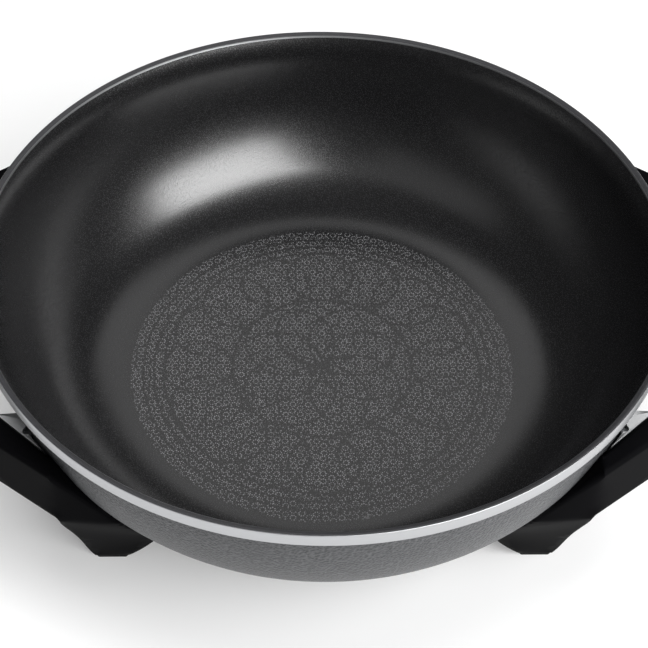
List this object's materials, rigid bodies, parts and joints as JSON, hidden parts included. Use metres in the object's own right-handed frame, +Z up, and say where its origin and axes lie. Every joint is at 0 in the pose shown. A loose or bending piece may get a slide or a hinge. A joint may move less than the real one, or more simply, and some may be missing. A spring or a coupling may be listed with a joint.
{
  "type": "electric wok",
  "caption": "Electric wok: deep cast bowl with a bare rim band, black handle-and-leg mouldings, a ring element under the floor and a pull-out thermostat control with a dial.",
  "frame": {"origin": "middle of the footprint, on the table under the foot pads", "axes": "+X to the right-hand grip, +Y to the back where the control plugs in, +Z up"},
  "size_m": [0.456, 0.434, 0.13],
  "materials": {
    "coated_aluminium": "non-stick inside, hammered paint outside, bare rim band",
    "black_thermoset": "moulded, satin",
    "sheath_steel": "drawn tube, heat tinted",
    "plated_steel": "zinc plated",
    "nickel": "nickel plated",
    "ceramic": "unglazed ceramic",
    "foot_rubber": "matte",
    "housing_plastic": "fine moulded texture",
    "knob_plastic": "polished",
    "spring_brass": "stamped",
    "bimetal": "rolled strip",
    "lens_red": "clear red",
    "lamp_glass": "clear",
    "gland_rubber": "matte"
  },
  "bodies": {
    "wok": {"bowl": "coated_aluminium", "heating_element": "sheath_steel", "terminal_pins": "nickel", "terminal_insulators": "ceramic", "terminal_shroud": "plated_steel", "shroud_screws": "plated_steel", "left_handle": "black_thermoset", "right_handle": "black_thermoset", "front_left_foot_pad": "foot_rubber", "front_right_foot_pad": "foot_rubber", "back_left_foot_pad": "foot_rubber", "back_right_foot_pad": "foot_rubber", "lug_screws": "plated_steel", "leg_screws": "plated_steel"},
    "control": {"control_base": "housing_plastic", "control_cover": "housing_plastic", "control_screws": "plated_steel", "probe_rod": "sheath_steel", "contact_sleeves": "spring_brass", "switch_block": "black_thermoset", "bimetal_blade": "bimetal", "contact_blade": "spring_brass", "indicator_lamp": "lamp_glass", "indicator_lens": "lens_red", "cable_gland": "gland_rubber"},
    "knob": {"control_knob": "knob_plastic", "knob_shaft": "plated_steel"}
  },
  "joints": [
    {"name": "control_pull", "type": "slide", "parent": "wok", "child": "control", "axis": [0, 1, 0], "range_m": [0, 0.095]},
    {"name": "knob_turn", "type": "hinge", "parent": "control", "child": "knob", "pos_m": [0, 0.17, 0.045], "axis": [0, 0, 1], "range_deg": [-280, 0]}
  ]
}
